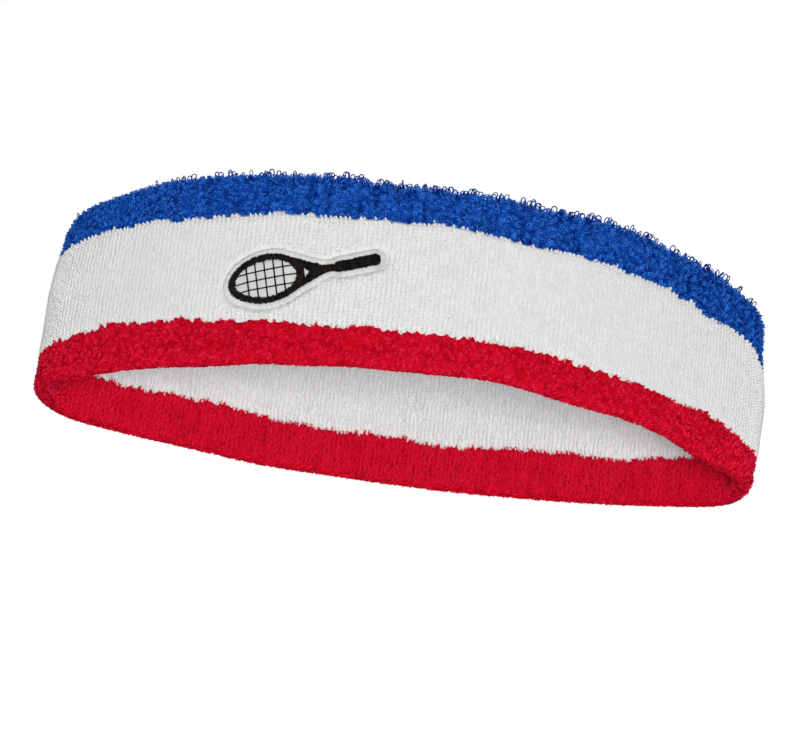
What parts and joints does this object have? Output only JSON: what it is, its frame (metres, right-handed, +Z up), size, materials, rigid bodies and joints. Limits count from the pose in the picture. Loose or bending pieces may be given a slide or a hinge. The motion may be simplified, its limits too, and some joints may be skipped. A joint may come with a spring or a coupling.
{
  "type": "sports headband",
  "caption": "Wide terry sports headband: a striped double-wall stretch knit loop, open oval at rest, with a small stitched racket emblem.",
  "frame": {"origin": "middle of the loop's outer box, at the lower rim it stands on", "axes": "+Z up as worn, from the red rim to the blue rim; +X along the long axis of the open oval, to the wearer's left; -Y the forehead side with the emblem"},
  "size_m": [0.184, 0.0806, 0.05],
  "materials": {
    "blue_terry": "looped cotton terry pile, matt",
    "white_terry": "looped cotton terry pile, matt",
    "red_terry": "looped cotton terry pile, matt",
    "ground_knit": "plain rib knit, matt",
    "seam_thread": "spun polyester overlock thread, soft sheen",
    "white_embroidery": "satin-stitched rayon thread, silky",
    "black_embroidery": "satin-stitched rayon thread, silky",
    "embroidery_backing": "cut-away nonwoven, matt",
    "elastic_thread": "covered rubber thread, matt"
  },
  "bodies": {
    "root": {"blue_terry_edge": "blue_terry", "white_terry_outer_panel": "white_terry", "red_terry_edge": "red_terry", "white_terry_inner_panel": "white_terry", "ground_knit_tube": "ground_knit", "closing_seam_thread": "seam_thread", "emblem_base_stitching": "white_embroidery", "emblem_racket_stitching": "black_embroidery", "emblem_string_stitching": "black_embroidery", "emblem_backing": "embroidery_backing", "emblem_bobbin_thread": "white_embroidery", "elastic_thread_outer_01": "elastic_thread", "elastic_thread_outer_02": "elastic_thread", "elastic_thread_outer_03": "elastic_thread", "elastic_thread_outer_04": "elastic_thread", "elastic_thread_outer_05": "elastic_thread", "elastic_thread_outer_06": "elastic_thread", "elastic_thread_outer_07": "elastic_thread", "elastic_thread_outer_08": "elastic_thread", "elastic_thread_outer_09": "elastic_thread", "elastic_thread_outer_10": "elastic_thread", "elastic_thread_outer_11": "elastic_thread", "elastic_thread_inner_01": "elastic_thread", "elastic_thread_inner_02": "elastic_thread", "elastic_thread_inner_03": "elastic_thread", "elastic_thread_inner_04": "elastic_thread", "elastic_thread_inner_05": "elastic_thread", "elastic_thread_inner_06": "elastic_thread", "elastic_thread_inner_07": "elastic_thread", "elastic_thread_inner_08": "elastic_thread", "elastic_thread_inner_09": "elastic_thread", "elastic_thread_inner_10": "elastic_thread", "elastic_thread_inner_11": "elastic_thread"}
  },
  "joints": []
}
